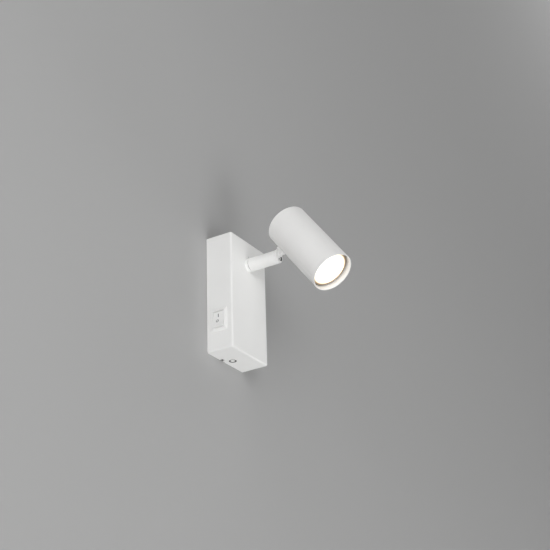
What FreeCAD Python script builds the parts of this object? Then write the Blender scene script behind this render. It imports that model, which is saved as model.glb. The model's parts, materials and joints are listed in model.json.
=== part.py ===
"""Bedside wall reading lamp: a folded steel housing with a rocker switch, a short swivelling arm and a
tilting cylindrical head that holds a pin-base reflector lamp.

Frame: X along the wall, +Y into the wall, +Z up. The origin is the centre of the housing's open back, on
the wall's surface. Millimetres throughout.
"""
import FreeCAD, Part
import math
import os
import re

import Sketcher
from FreeCAD import Placement, Rotation, Vector

# ---------------------------------------------------------------- driving dimensions
SIZES = {
    # housing and its cut-outs
    "house_wide": (80.0, "housing, along the wall"),
    "house_tall": (160.0, "housing, height"),
    "house_deep": (38.0, "housing, off the wall"),
    "sheet_wall": (1.2, "steel sheet of the housing"),
    "edge_round": (2.5, "outside radius of the folded edges"),
    "notch_wide": (6.2, "cable notch in the bottom rear edge, width"),
    "notch_deep": (4.3, "cable notch, depth"),
    "notch_side": (-10.3, "cable notch and clamp, place along the wall"),
    "cover_screw_off": (11.0, "cover screws, distance from the wall"),
    "dimple_radius": (5.2, "dimple round a cover screw, mouth radius"),
    "dimple_floor": (4.4, "dimple, floor radius"),
    "dimple_deep": (2.0, "dimple, depth"),
    "dimple_wall": (0.6, "dimple, thickness of its pressed sheet"),
    "cover_head": (3.5, "cover screw, head radius"),
    "cover_head_tall": (1.5, "cover screw, head height"),
    # wall bracket
    "bracket_thick": (2.0, "bracket strip"),
    "bracket_wide": (50.0, "bracket plate, width"),
    "plate_step": (5.2, "bracket plate, ends short of the bent tabs"),
    "tab_wide": (13.0, "bent tab that takes a cover screw"),
    "tab_deep": (18.0, "bent tab, reach from the wall"),
    "tab_gap": (1.6, "space between tab and housing"),
    "wall_slot_radius": (2.5, "slot for a wall screw, half width"),
    "wall_slot_run": (4.0, "slot, length of its straight part"),
    "wall_slot_inset": (30.0, "wall slots, distance from the housing's ends"),
    "entry_radius": (10.0, "hole for a cable that comes out of the wall"),
    "entry_rise": (17.0, "height of that hole"),
    # screws: shank radii, and the clearance that a threaded fit is drawn with
    "screw_four": (2.0, "shank radius of a four millimetre screw"),
    "screw_three": (1.5, "shank radius of a three millimetre screw"),
    "thread_fit": (0.02, "radial clearance drawn in a thread"),
    "hole_ease": (0.25, "radial clearance of a through hole"),
    "small_head": (2.7, "head radius of a three millimetre screw"),
    "small_head_tall": (1.7, "head height of a three millimetre screw"),
    "edge_break": (0.4, "small chamfer on turned parts"),
    "insert_radius": (3.3, "threaded insert, shoulder radius"),
    "insert_neck": (2.7, "threaded insert, neck radius"),
    "insert_long": (4.0, "threaded insert, length inside the tab"),
    # terminals on the bracket
    "block_side": (12.5, "terminal block, place along the wall"),
    "block_rise": (-22.0, "terminal block, height"),
    "block_half": (10.0, "terminal block, half length of its foot"),
    "block_tall": (13.0, "terminal block, height above the bracket"),
    "block_foot": (4.0, "terminal block, thickness of its foot"),
    "pole_pitch": (8.6, "distance between the poles of the block"),
    "pole_half": (8.0, "pole tower, half length"),
    "pole_gap": (1.4, "space between two pole towers"),
    "sleeve_radius": (2.1, "brass sleeve of a pole, outside"),
    "sleeve_bore": (1.5, "brass sleeve, bore"),
    "sleeve_high": (6.5, "brass sleeve, height of its axis above the bracket"),
    "pole_screw_side": (4.4, "clamping screws, distance from the block's middle"),
    "earth_side": (-16.0, "earth terminal, place along the wall"),
    "earth_rise": (-12.0, "earth terminal, height"),
    "clamp_above": (16.0, "cable clamp, above the housing's bottom"),
    "clamp_half": (10.5, "cable clamp, half length"),
    "clamp_wide": (8.0, "cable clamp, width along the cable"),
    "clamp_ear": (2.6, "cable clamp, thickness of its ears"),
    "clamp_bore": (2.9, "cable clamp, radius round the cable"),
    "clamp_screw_side": (7.6, "clamp screws, distance from the cable"),
    # rocker switch in the left side
    "switch_above": (40.8, "switch, above the housing's bottom"),
    "switch_off": (18.3, "switch, distance of its middle from the wall"),
    "frame_wide": (23.5, "switch frame, width"),
    "frame_tall": (30.0, "switch frame, height"),
    "frame_thick": (1.8, "switch frame, thickness outside the housing"),
    "frame_edge": (0.6, "switch frame, upright part of its edge"),
    "frame_slope": (67.0, "switch frame, slope of its border from upright, in degrees"),
    "snap_inset": (1.5, "switch frame, overlap on the sheet"),
    "switch_deep": (18.0, "switch body behind the sheet"),
    "rocker_wide": (14.8, "rocker, width"),
    "rocker_radius": (11.2, "rocker, radius of its two ends about the pivot"),
    "rocker_gap": (0.2, "space round the rocker"),
    "rocker_sink": (3.6, "pivot, depth below the frame's face"),
    "rocker_crest": (3.0, "middle of the rocker's face above the pivot"),
    "rocker_round": (0.4, "rocker, rounding of its edges"),
    "rocker_belly": (3.0, "rocker's underside below the pivot"),
    "rocker_tilt": (7.0, "half of the rocker's travel, in degrees"),
    "stub_radius": (1.2, "rocker's pivot stubs"),
    "stub_long": (1.4, "rocker's pivot stubs, length"),
    "blade_wide": (6.3, "switch terminal blade, width"),
    "blade_thick": (0.8, "switch terminal blade, thickness"),
    "blade_long": (8.0, "switch terminal blade, length"),
    "blade_step": (7.5, "switch terminal blades, distance from the middle"),
    # swivel and arm
    "arm_below": (33.6, "arm axis, below the housing's top"),
    "arm_radius": (8.8, "arm"),
    "arm_reach": (46.5, "arm's end, from the housing's front"),
    "end_chamfer": (0.9, "chamfer of the arm's end"),
    "collar_thick": (3.5, "base collar on the housing"),
    "washer_thick": (0.6, "friction washer between collar and arm"),
    "washer_inset": (0.9, "friction washer, smaller than the arm all round"),
    "run_gap": (0.05, "running clearance of turning faces and shafts"),
    "nipple_radius": (5.0, "hollow swivel nipple"),
    "nipple_bore": (3.5, "hollow swivel nipple, bore radius"),
    "nipple_grip": (10.0, "length of the nipple in the arm"),
    "spigot_radius": (6.5, "collar's spigot in the housing"),
    "spigot_long": (1.0, "collar's spigot, length"),
    "thrust_radius": (9.0, "washer inside the housing"),
    "thrust_thick": (1.0, "washer inside the housing, thickness"),
    "disc_radius": (8.4, "stop disc"),
    "disc_thick": (1.0, "stop disc, thickness"),
    "tab_reach": (13.6, "stop disc, reach of its tab"),
    "stop_tab": (2.0, "stop disc, width of its tab"),
    "stop_radius": (1.0, "stop pin"),
    "stop_side": (12.0, "stop pin, distance from the arm axis"),
    "stop_long": (3.0, "stop pin, length"),
    "spring_thick": (0.8, "spring washer"),
    "spring_radius": (7.8, "spring washer, radius"),
    "nut_flats": (14.0, "nipple nut, across flats"),
    "nut_thick": (3.0, "nipple nut, thickness"),
    "nipple_spare": (1.5, "nipple beyond its nut"),
    # tilt joint at the arm's end
    "pivot_back": (6.7, "pivot axis, from the arm's end"),
    "slot_deep": (14.0, "slot in the arm's end, length"),
    "slot_floor": (6.9, "slot, its floor below the arm axis"),
    "joint_side": (-1.4, "slot and tongue, place across the arm"),
    "tongue_thick": (3.0, "tongue that turns in the slot"),
    "eye_radius": (5.6, "round end of the tongue"),
    "pin_blind": (6.8, "pivot screw, reach into the near cheek"),
    "pin_head_radius": (3.5, "pivot screw, head radius"),
    "pin_head_seat": (7.0, "pivot screw, seat of its head from the middle"),
    "pin_head_tall": (1.5, "pivot screw, head"),
    "lock_side": (3.2, "locking screw, place across the arm"),
    "lock_drop": (-2.2, "locking screw, height from the arm axis"),
    "lock_radius": (2.5, "locking screw"),
    "lock_mouth": (2.95, "recess round the locking screw, radius"),
    "lock_mouth_deep": (0.5, "recess round the locking screw, depth"),
    "lock_socket": (1.45, "locking screw, hexagon socket, corner radius"),
    "lock_socket_deep": (1.5, "locking screw, hexagon socket, depth"),
    # head
    "droop": (53.7, "head axis below the horizontal, in degrees"),
    "head_offset": (40.6, "head axis from the pivot axis"),
    "head_radius": (27.5, "head tube, outside"),
    "head_long": (108.0, "head tube, length"),
    "head_rear": (23.0, "head tube behind the tongue"),
    "head_wall": (1.2, "head tube, wall"),
    "head_end": (1.6, "head tube, closed end"),
    "head_round": (2.0, "head tube, radius of the rear edge"),
    "rim_round": (0.4, "head tube, rounding of the front rim"),
    "saddle_half": (3.2, "tongue's foot on the tube, half width"),
    "saddle_front": (7.5, "tongue's foot, reach towards the light"),
    "saddle_rear": (5.0, "tongue's foot, reach towards the closed end"),
    "saddle_thick": (2.0, "tongue's foot, thickness"),
    "foot_screw_front": (5.0, "head screw, distance from the tongue's middle towards the light"),
    "foot_screw_rear": (2.8, "head screw, distance from the tongue's middle towards the closed end"),
    "strip_half": (6.0, "bracket in the head, half width"),
    "strip_thick": (1.5, "bracket in the head, thickness"),
    "strip_tail": (9.0, "bracket in the head, reach behind the tongue"),
    "strip_rise": (13.0, "bracket in the head, reach above the axis"),
    # lamp and its holder
    "lamp_inset": (7.0, "lamp's face behind the head's rim"),
    "lamp_radius": (25.0, "lamp's rim"),
    "lamp_long": (48.0, "lamp, from face to base"),
    "lamp_neck": (14.5, "lamp's base, radius"),
    "lamp_neck_long": (12.0, "lamp's base, length"),
    "lamp_rim_long": (6.0, "lamp's rim, length"),
    "lens_thick": (2.4, "lamp's front"),
    "lens_edge": (1.5, "lamp's rim round its front"),
    "pin_side": (5.0, "lamp pins, distance from the axis"),
    "pin_stem": (1.6, "lamp pins, stem radius"),
    "pin_knob": (2.5, "lamp pins, knob radius"),
    "pin_long": (7.4, "lamp pins, length"),
    "knob_long": (1.8, "lamp pins, length of the knob"),
    "seat_gap": (0.3, "space between pieces that only lie close"),
    "holder_radius": (13.5, "lampholder"),
    "holder_waist": (12.0, "lampholder, front part"),
    "holder_long": (18.0, "lampholder, length"),
    "holder_step": (6.0, "lampholder, length of its rear part"),
    "pin_well": (3.0, "lampholder's wells for the pins, radius"),
    "well_deep": (9.2, "lampholder's wells, depth"),
    "holder_screw_rise": (8.6, "lampholder screws, distance from the axis"),
    "contact_thick": (1.0, "contact at the bottom of a well"),
}

# Heights that follow the housing, and roundings that follow the sheet.
FOLLOWING = {
    "tab_face": ("house_tall / 2 - sheet_wall - tab_gap", "outer face of a bent tab"),
    "plate_end": ("house_tall / 2 - sheet_wall - tab_gap - plate_step", "end of the bracket plate"),
    "wall_slot_rise": ("house_tall / 2 - wall_slot_inset", "middle of the upper wall slot"),
    "clamp_drop": ("clamp_above - house_tall / 2", "height of the cable clamp"),
    "switch_drop": ("switch_above - house_tall / 2", "height of the switch's middle"),
    "arm_rise": ("house_tall / 2 - arm_below", "height of the arm axis"),
    "inner_round": ("edge_round - sheet_wall", "inside radius of the folded edges"),
}

doc = FreeCAD.newDocument("BedsideWallReadingLamp")
sheet = doc.addObject("Spreadsheet::Sheet", "Sizes")
rows = [(alias, str(number), meaning) for alias, (number, meaning) in SIZES.items()]
rows += [(alias, "=" + text, meaning) for alias, (text, meaning) in FOLLOWING.items()]
for row, (alias, content, meaning) in enumerate(rows, start=1):
    sheet.set("A%d" % row, alias)
    sheet.set("B%d" % row, content)
    sheet.set("C%d" % row, meaning)
    sheet.setAlias("B%d" % row, alias)
doc.recompute()

WORD = re.compile(r"[a-z][a-z_]*")
OVERCUT = "1"
parts = []


# ---------------------------------------------------------------- tools of the drawing
def formula(text):
    """Formula in which the name of each driving dimension points at its cell."""
    named = SIZES.keys() | FOLLOWING.keys()
    return WORD.sub(lambda word: "Sizes." + word.group() if word.group() in named else word.group(), text)


def value(text):
    """Number that a formula gives now."""
    return float(sheet.evalExpression(formula(text)))


def bind(thing, **formulas):
    """Tie properties of a feature to formulas."""
    for name, text in formulas.items():
        thing.setExpression(name, formula(text))


def place(thing, x="0", y="0", z="0", axis=None, angle="0"):
    """Tie a thing's place, and its turn about one axis, to formulas."""
    if axis is not None:
        thing.Placement = Placement(Vector(), Rotation(Vector(*axis), value(angle)))
        thing.setExpression(".Placement.Rotation.Angle", formula(angle))
    for letter, text in (("x", x), ("y", y), ("z", z)):
        thing.setExpression(".Placement.Base." + letter, formula(text))


def new_body(label):
    """Body of one sub-part, named as its file is."""
    body = doc.addObject("PartDesign::Body", label.title().replace("_", ""))
    body.Label = label
    parts.append(body)
    return body


def keep(thing, label):
    """Make a boolean or compound one of the sub-parts."""
    thing.Label = label
    parts.append(thing)
    return thing


def sketch_on(body, plane, height="0", slide="0"):
    """Sketch on an origin plane of its body, raised along the plane's normal and slid along its X."""
    sketch = body.newObject("Sketcher::SketchObject", body.Name + "Sketch")
    support = next(item for item in body.Origin.OriginFeatures if item.Role == plane)
    sketch.AttachmentSupport = [(support, "")]
    sketch.MapMode = "FlatFace"
    bind(sketch, **{"AttachmentOffset.Base.z": height, "AttachmentOffset.Base.x": slide})
    return sketch


def measure(sketch, constraint, text):
    """Add a constraint whose number comes from a formula."""
    index = sketch.addConstraint(constraint)
    sketch.setExpression("Constraints[%d]" % index, formula(text))


def pin_point(sketch, edge, end, x, y):
    """Fix a point of an edge at a place given by two formulas."""
    for kind, axis, text in (("DistanceX", -2, x), ("DistanceY", -1, y)):
        if text == "0":
            sketch.addConstraint(Sketcher.Constraint("PointOnObject", edge, end, axis))
        else:
            measure(sketch, Sketcher.Constraint(kind, -1, 1, edge, end, value(text)), text)


def outline(sketch, corners):
    """Closed outline of straight lines through the corners."""
    spots = [Vector(value(x), value(y), 0) for x, y in corners]
    first = sketch.GeometryCount
    for here, following in zip(spots, spots[1:] + spots[:1]):
        sketch.addGeometry(Part.LineSegment(here, following), False)
    for number, (x, y) in enumerate(corners):
        after = (number + 1) % len(corners)
        sketch.addConstraint(Sketcher.Constraint("Coincident", first + number, 2, first + after, 1))
        pin_point(sketch, first + number, 1, x, y)
    return sketch


def rectangle(sketch, left, low, right, high):
    """Rectangle between two corners."""
    return outline(sketch, [(left, low), (right, low), (right, high), (left, high)])


def circle(sketch, radius, x="0", y="0"):
    """Circle about a point."""
    shape = Part.Circle(Vector(value(x), value(y), 0), Vector(0, 0, 1), value(radius))
    number = sketch.addGeometry(shape, False)
    pin_point(sketch, number, 3, x, y)
    measure(sketch, Sketcher.Constraint("Radius", number, value(radius)), radius)
    return sketch


def upright_slot(sketch, radius, run, x, y):
    """Upright slot with round ends: radius of the ends and length of the straight part."""
    half = value(run) / 2
    reach = value(radius)
    middle = Vector(value(x), value(y), 0)
    rise = Vector(0, half, 0)
    side = Vector(reach, 0, 0)
    up = Vector(0, 0, 1)
    first = sketch.GeometryCount
    sketch.addGeometry(Part.ArcOfCircle(Part.Circle(middle + rise, up, reach), 0, math.pi), False)
    sketch.addGeometry(Part.LineSegment(middle + rise - side, middle - rise - side), False)
    sketch.addGeometry(Part.ArcOfCircle(Part.Circle(middle - rise, up, reach), math.pi, 2 * math.pi), False)
    sketch.addGeometry(Part.LineSegment(middle - rise + side, middle + rise + side), False)
    for number in range(4):
        after = first + (number + 1) % 4
        sketch.addConstraint(Sketcher.Constraint("Tangent", first + number, 2, after, 1))
    pin_point(sketch, first, 3, x, "%s + %s / 2" % (y, run))
    pin_point(sketch, first + 2, 3, x, "%s - %s / 2" % (y, run))
    measure(sketch, Sketcher.Constraint("Radius", first, reach), radius)
    return sketch


def pad(body, sketch, length):
    """Add material from the sketch along its plane's normal."""
    feature = body.newObject("PartDesign::Pad", body.Name + "Pad")
    feature.Profile = sketch
    bind(feature, Length=length)
    doc.recompute()
    return feature


def cut(body, sketch, length):
    """Remove material from the sketch along its plane's normal."""
    feature = body.newObject("PartDesign::Pocket", body.Name + "Cut")
    feature.Profile = sketch
    feature.Reversed = True
    bind(feature, Length=length)
    doc.recompute()
    return feature


def turn(body, sketch, axis="H_Axis", kind="Revolution"):
    """Revolve a sketch, to add material or, as a groove, to remove it."""
    feature = body.newObject("PartDesign::" + kind, body.Name + kind)
    feature.Profile = sketch
    feature.ReferenceAxis = (sketch, [axis])
    feature.Angle = 360
    doc.recompute()
    return feature


def round_edges(body, base, radius, wanted, kind="Fillet"):
    """Fillet or chamfer the edges of the last feature that a test on their middle picks."""
    names = []
    for number, edge in enumerate(base.Shape.Edges, start=1):
        if wanted(edge):
            names.append("Edge%d" % number)
    feature = body.newObject("PartDesign::" + kind, body.Name + kind)
    feature.Base = (base, names)
    bind(feature, **{"Radius" if kind == "Fillet" else "Size": radius})
    doc.recompute()
    return feature


def cylinder(name, radius, height, **where):
    """Plain cylinder, upright at its place."""
    thing = doc.addObject("Part::Cylinder", name)
    bind(thing, Radius=radius, Height=height)
    place(thing, **where)
    return thing


def ring(name, outer, inner, height, **where):
    """Flat ring or tube that stands along Z before it is turned."""
    whole = doc.addObject("Part::Cut", name)
    whole.Base = cylinder(name + "Outer", outer, height)
    whole.Tool = cylinder(name + "Bore", inner, height + " + 2", z="-1")
    place(whole, **where)
    return whole


def screw(name, shank, length, head, head_tall, slots=2, **where):
    """Screw with its head above the origin and its shank along -Z, and one slot or a cross of two."""
    top = cylinder(name + "Head", head, head_tall)
    stem = cylinder(name + "Shank", shank, length + " + 0.1", z="-(%s)" % length)
    solid = doc.addObject("Part::Fuse", name + "Solid")
    solid.Base = top
    solid.Tool = stem
    for number in range(slots):
        drive = doc.addObject("Part::Box", name + "Drive")
        bind(drive, Length="1.3 * (%s)" % head, Width="0.24 * (%s)" % head, Height=head_tall)
        place(drive, x="-0.65 * (%s)" % head, y="-0.12 * (%s)" % head, z="0.55 * (%s)" % head_tall)
        turned = doc.addObject("Part::Compound", name + "DriveTurned")
        turned.Links = [drive]
        turned.Placement = Placement(Vector(), Rotation(Vector(0, 0, 1), 90 * number))
        dug = doc.addObject("Part::Cut", name + "Dug")
        dug.Base = solid
        dug.Tool = turned
        solid = dug
    place(solid, **where)
    return solid


def group(label, members):
    """Sub-part of several separate solids of one kind."""
    compound = doc.addObject("Part::Compound", label.title().replace("_", ""))
    compound.Links = members
    return keep(compound, label)


# Directions that a screw's head can face, as a turn of its upright drawing.
TOWARDS_ROOM = {"axis": (1, 0, 0), "angle": "90"}
TOWARDS_WALL = {"axis": (1, 0, 0), "angle": "-90"}
DOWN = {"axis": (1, 0, 0), "angle": "180"}
TO_THE_RIGHT = {"axis": (0, 1, 0), "angle": "90"}


# ---------------------------------------------------------------- wall bracket and what sits on it

def wall_bracket():
    """Steel strip on the wall: a plate with two bent tabs for the cover screws."""
    body = new_body("wall_bracket")
    half = "bracket_wide / 2"
    plate = sketch_on(body, "XZ_Plane")
    rectangle(plate, "-" + half, "-plate_end", half, "plate_end")
    pad(body, plate, "bracket_thick")
    strip = sketch_on(body, "YZ_Plane", "-tab_wide / 2")
    outline(strip, [("0", "-tab_face"), ("0", "tab_face"), ("-tab_deep", "tab_face"),
                    ("-tab_deep", "tab_face - bracket_thick"), ("-bracket_thick", "tab_face - bracket_thick"),
                    ("-bracket_thick", "bracket_thick - tab_face"),
                    ("-tab_deep", "bracket_thick - tab_face"), ("-tab_deep", "-tab_face")])
    folded = pad(body, strip, "tab_wide")
    end = value("tab_face")
    round_edges(body, folded, "bracket_thick",
                lambda edge: abs(edge.CenterOfMass.y) < 0.01 and abs(abs(edge.CenterOfMass.z) - end) < 0.01)
    for side in ("1", "-1"):
        slot = sketch_on(body, "XZ_Plane", "-" + OVERCUT)
        upright_slot(slot, "wall_slot_radius", "wall_slot_run", "0", side + " * wall_slot_rise")
        cut(body, slot, "bracket_thick + 2")
    holes = sketch_on(body, "XZ_Plane", "-" + OVERCUT)
    circle(holes, "entry_radius", "0", "entry_rise")
    circle(holes, "screw_four + thread_fit", "earth_side", "earth_rise")
    circle(holes, "screw_three + thread_fit", "block_side", "block_rise - pole_pitch / 2")
    for side in ("1", "-1"):
        circle(holes, "screw_three + thread_fit", "notch_side + %s * clamp_screw_side" % side, "clamp_drop")
    cut(body, holes, "bracket_thick + 2")
    necks = sketch_on(body, "XY_Plane", "-house_tall / 2")
    circle(necks, "insert_neck", "0", "-cover_screw_off")
    cut(body, necks, "house_tall")


def bracket_inserts():
    """Threaded inserts that are pressed into the bent tabs from inside."""
    members = []
    for name, side, facing in (("InsertTop", "1", DOWN), ("InsertBottom", "-1", {})):
        shell = doc.addObject("Part::Fuse", name + "Shell")
        shell.Base = cylinder(name + "Shoulder", "insert_radius", "insert_long")
        shell.Tool = cylinder(name + "Neck", "insert_neck", "bracket_thick", z="-bracket_thick")
        insert = doc.addObject("Part::Cut", name)
        insert.Base = shell
        insert.Tool = cylinder(name + "Thread", "screw_four + thread_fit", "insert_long + 8", z="-4")
        place(insert, y="-cover_screw_off", z=side + " * (tab_face - bracket_thick)", **facing)
        members.append(insert)
    group("bracket_inserts", members)


def terminal_block():
    """Three-pole terminal block; a tower per pole, with a cross bore and two screw wells."""
    body = new_body("terminal_block")
    place(body, x="block_side", y="-bracket_thick", z="block_rise")
    foot = sketch_on(body, "XZ_Plane")
    rectangle(foot, "-block_half", "-1.5 * pole_pitch", "block_half", "1.5 * pole_pitch")
    pad(body, foot, "block_foot")
    for pole in ("-1", "0", "1"):
        tower = sketch_on(body, "XZ_Plane", "block_foot - 0.5")
        rectangle(tower, "-pole_half", pole + " * pole_pitch - (pole_pitch - pole_gap) / 2",
                  "pole_half", pole + " * pole_pitch + (pole_pitch - pole_gap) / 2")
        pad(body, tower, "block_tall - block_foot + 0.5")
        bore = sketch_on(body, "YZ_Plane", "-block_half")
        circle(bore, "sleeve_radius + thread_fit", "-sleeve_high", pole + " * pole_pitch")
        cut(body, bore, "2 * block_half")
        wells = sketch_on(body, "XZ_Plane", "sleeve_high")
        circle(wells, "screw_three + 0.2", "pole_screw_side", pole + " * pole_pitch")
        circle(wells, "screw_three + 0.2", "-pole_screw_side", pole + " * pole_pitch")
        cut(body, wells, "block_tall")
    fixing = sketch_on(body, "XZ_Plane", "-" + OVERCUT)
    circle(fixing, "screw_three + hole_ease", "0", "-pole_pitch / 2")
    cut(body, fixing, "block_tall + 2")
    sink = sketch_on(body, "XZ_Plane", "block_foot - 1")
    circle(sink, "pole_gap / 2 + 2.2", "0", "-pole_pitch / 2")
    cut(body, sink, "block_tall")


def terminal_sleeves():
    """Brass sleeves in the poles, each with two tapped holes for its clamping screws."""
    members = []
    for pole in ("-1", "0", "1"):
        name = "Sleeve" + pole.replace("-1", "Low").replace("1", "High").replace("0", "Middle")
        tube = ring(name + "Tube", "sleeve_radius", "sleeve_bore", "2 * (pole_half - 0.6)",
                    x="-(pole_half - 0.6)", **TO_THE_RIGHT)
        taps = []
        for side in ("-1", "1"):
            taps.append(cylinder(name + "Tap", "screw_three + thread_fit - 0.3", "sleeve_radius + 1",
                                 x=side + " * pole_screw_side", **TOWARDS_ROOM))
        tapped = doc.addObject("Part::Cut", name)
        tapped.Base = tube
        both = doc.addObject("Part::Compound", name + "Taps")
        both.Links = taps
        tapped.Tool = both
        place(tapped, x="block_side", y="-bracket_thick - sleeve_high", z="block_rise + %s * pole_pitch" % pole)
        members.append(tapped)
    group("terminal_sleeves", members)


def terminal_screws():
    """Clamping screws of the poles, two to a sleeve."""
    members = []
    for pole in ("-1", "0", "1"):
        for side in ("-1", "1"):
            members.append(screw("PoleScrew", "screw_three - 0.3", "1.9", "screw_three", "3.4", slots=1,
                                 x="block_side + %s * pole_screw_side" % side,
                                 y="-bracket_thick - sleeve_high - sleeve_radius - thread_fit",
                                 z="block_rise + %s * pole_pitch" % pole, **TOWARDS_ROOM))
    group("terminal_screws", members)


def bracket_screws():
    """Screws that hold the terminal block and the cable clamp on the bracket."""
    block = screw("BlockScrew", "screw_three", "block_foot + 0.8", "small_head", "small_head_tall",
                  x="block_side", y="-bracket_thick - block_foot + 1 - thread_fit",
                  z="block_rise - pole_pitch / 2", **TOWARDS_ROOM)
    keep(block, "block_screw")
    members = []
    for side in ("-1", "1"):
        members.append(screw("ClampScrew", "screw_three", "clamp_ear + bracket_thick - 0.2", "small_head",
                             "small_head_tall",
                             x="notch_side + %s * clamp_screw_side" % side,
                             y="-bracket_thick - clamp_ear - thread_fit", z="clamp_drop", **TOWARDS_ROOM))
    group("clamp_screws", members)


def earth_terminal():
    """Earth screw with its cupped washer on the bracket."""
    washer = ring("EarthWasher", "4.5", "screw_four + hole_ease", "1",
                  x="earth_side", y="-bracket_thick", z="earth_rise", **TOWARDS_ROOM)
    stud = screw("EarthScrew", "screw_four", "2.8", "3.9", "2.4",
                 x="earth_side", y="-bracket_thick - 1 - thread_fit", z="earth_rise", **TOWARDS_ROOM)
    group("earth_terminal", [washer, stud])


def cable_clamp():
    """Moulded saddle that holds the supply cable behind the notch."""
    body = new_body("cable_clamp")
    place(body, x="notch_side", y="-bracket_thick", z="clamp_drop")
    ears = sketch_on(body, "XY_Plane", "-clamp_wide / 2")
    rectangle(ears, "-clamp_half", "-clamp_ear", "clamp_half", "0")
    pad(body, ears, "clamp_wide")
    hump = sketch_on(body, "XY_Plane", "-clamp_wide / 2")
    circle(hump, "clamp_bore + 1.7", "0", "-clamp_bore + 0.4")
    pad(body, hump, "clamp_wide")
    under = sketch_on(body, "XY_Plane", "-clamp_wide / 2 - 1")
    rectangle(under, "-clamp_half - 1", "0", "clamp_half + 1", "6")
    cut(body, under, "clamp_wide + 2")
    channel = sketch_on(body, "XY_Plane", "-clamp_wide / 2 - 1")
    circle(channel, "clamp_bore", "0", "-clamp_bore + 0.4")
    cut(body, channel, "clamp_wide + 2")
    holes = sketch_on(body, "XZ_Plane", "-" + OVERCUT)
    circle(holes, "screw_three + hole_ease", "-clamp_screw_side", "0")
    circle(holes, "screw_three + hole_ease", "clamp_screw_side", "0")
    cut(body, holes, "clamp_ear + 2")


# ---------------------------------------------------------------- housing
def housing_cover():
    """Folded box, open at the wall, with the arm hole, the switch cut-out, the dimples and the notch."""
    body = new_body("housing_cover")
    block = sketch_on(body, "XZ_Plane")
    rectangle(block, "-house_wide / 2", "-house_tall / 2", "house_wide / 2", "house_tall / 2")
    solid = pad(body, block, "house_deep")
    round_edges(body, solid, "edge_round", lambda edge: abs(edge.CenterOfMass.y) > 0.01)
    hollow = sketch_on(body, "XZ_Plane", "-" + OVERCUT)
    rectangle(hollow, "-(house_wide / 2 - sheet_wall)", "-(house_tall / 2 - sheet_wall)",
              "house_wide / 2 - sheet_wall", "house_tall / 2 - sheet_wall")
    shell = cut(body, hollow, "house_deep - sheet_wall + 1")
    inside = [value(text + " - sheet_wall") for text in ("house_wide / 2", "house_deep", "house_tall / 2")]

    def is_inner_fold(edge):
        middle = edge.CenterOfMass
        reach = [abs(middle.x), abs(middle.y), abs(middle.z)]
        return middle.y < -0.01 and all(here < limit + 0.01 for here, limit in zip(reach, inside))

    round_edges(body, shell, "inner_round", is_inner_fold)
    arm_hole = sketch_on(body, "XZ_Plane", "house_deep - sheet_wall - 1")
    circle(arm_hole, "spigot_radius + thread_fit", "0", "arm_rise")
    circle(arm_hole, "stop_radius", "0", "arm_rise + stop_side")
    cut(body, arm_hole, "sheet_wall + 2")
    window = sketch_on(body, "YZ_Plane", "-house_wide / 2 - 1")
    rectangle(window, "-switch_off - (frame_wide / 2 - snap_inset)",
              "switch_drop - (frame_tall / 2 - snap_inset)",
              "-switch_off + (frame_wide / 2 - snap_inset)",
              "switch_drop + (frame_tall / 2 - snap_inset)")
    cut(body, window, "sheet_wall + 2")
    for side in ("-1", "1"):
        face = side + " * house_tall / 2"
        cone_foot = "%s - %s * sheet_wall" % (face, side)
        boss = sketch_on(body, "YZ_Plane", "0", "-cover_screw_off")
        outline(boss, [("0", "%s - %s * 0.3" % (face, side)),
                       ("dimple_radius + 0.5", "%s - %s * 0.3" % (face, side)),
                       ("dimple_radius + 0.5", cone_foot),
                       ("dimple_floor + dimple_wall", "%s - %s * (dimple_deep + dimple_wall)" % (face, side)),
                       ("0", "%s - %s * (dimple_deep + dimple_wall)" % (face, side))])
        turn(body, boss, "V_Axis")
        seat = sketch_on(body, "YZ_Plane", "0", "-cover_screw_off")
        outline(seat, [("0", "%s + %s * 1" % (face, side)), ("dimple_radius", "%s + %s * 1" % (face, side)),
                       ("dimple_radius", face), ("dimple_floor", "%s - %s * dimple_deep" % (face, side)),
                       ("screw_four + hole_ease", "%s - %s * dimple_deep" % (face, side)),
                       ("screw_four + hole_ease", "%s - %s * (dimple_deep + 1)" % (face, side)),
                       ("0", "%s - %s * (dimple_deep + 1)" % (face, side))])
        turn(body, seat, "V_Axis", "Groove")
    notch = sketch_on(body, "XY_Plane", "-house_tall / 2 - 1")
    rectangle(notch, "notch_side - notch_wide / 2", "-notch_deep", "notch_side + notch_wide / 2", "1")
    cut(body, notch, "sheet_wall + 2")


def cover_screws():
    """Pan-head screws that sit in the dimples and hold the housing on the bracket's tabs."""
    members = []
    for name, side, facing in (("CoverScrewTop", "1", {}), ("CoverScrewBottom", "-1", DOWN)):
        members.append(screw(name, "screw_four", "tab_gap + sheet_wall + 3.6", "cover_head", "cover_head_tall",
                             y="-cover_screw_off",
                             z=side + " * (house_tall / 2 - dimple_deep + thread_fit)", **facing))
    group("cover_screws", members)


# ---------------------------------------------------------------- rocker switch
SWITCH_PLACE = {"x": "-house_wide / 2", "y": "-switch_off", "z": "switch_drop"}


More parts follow.
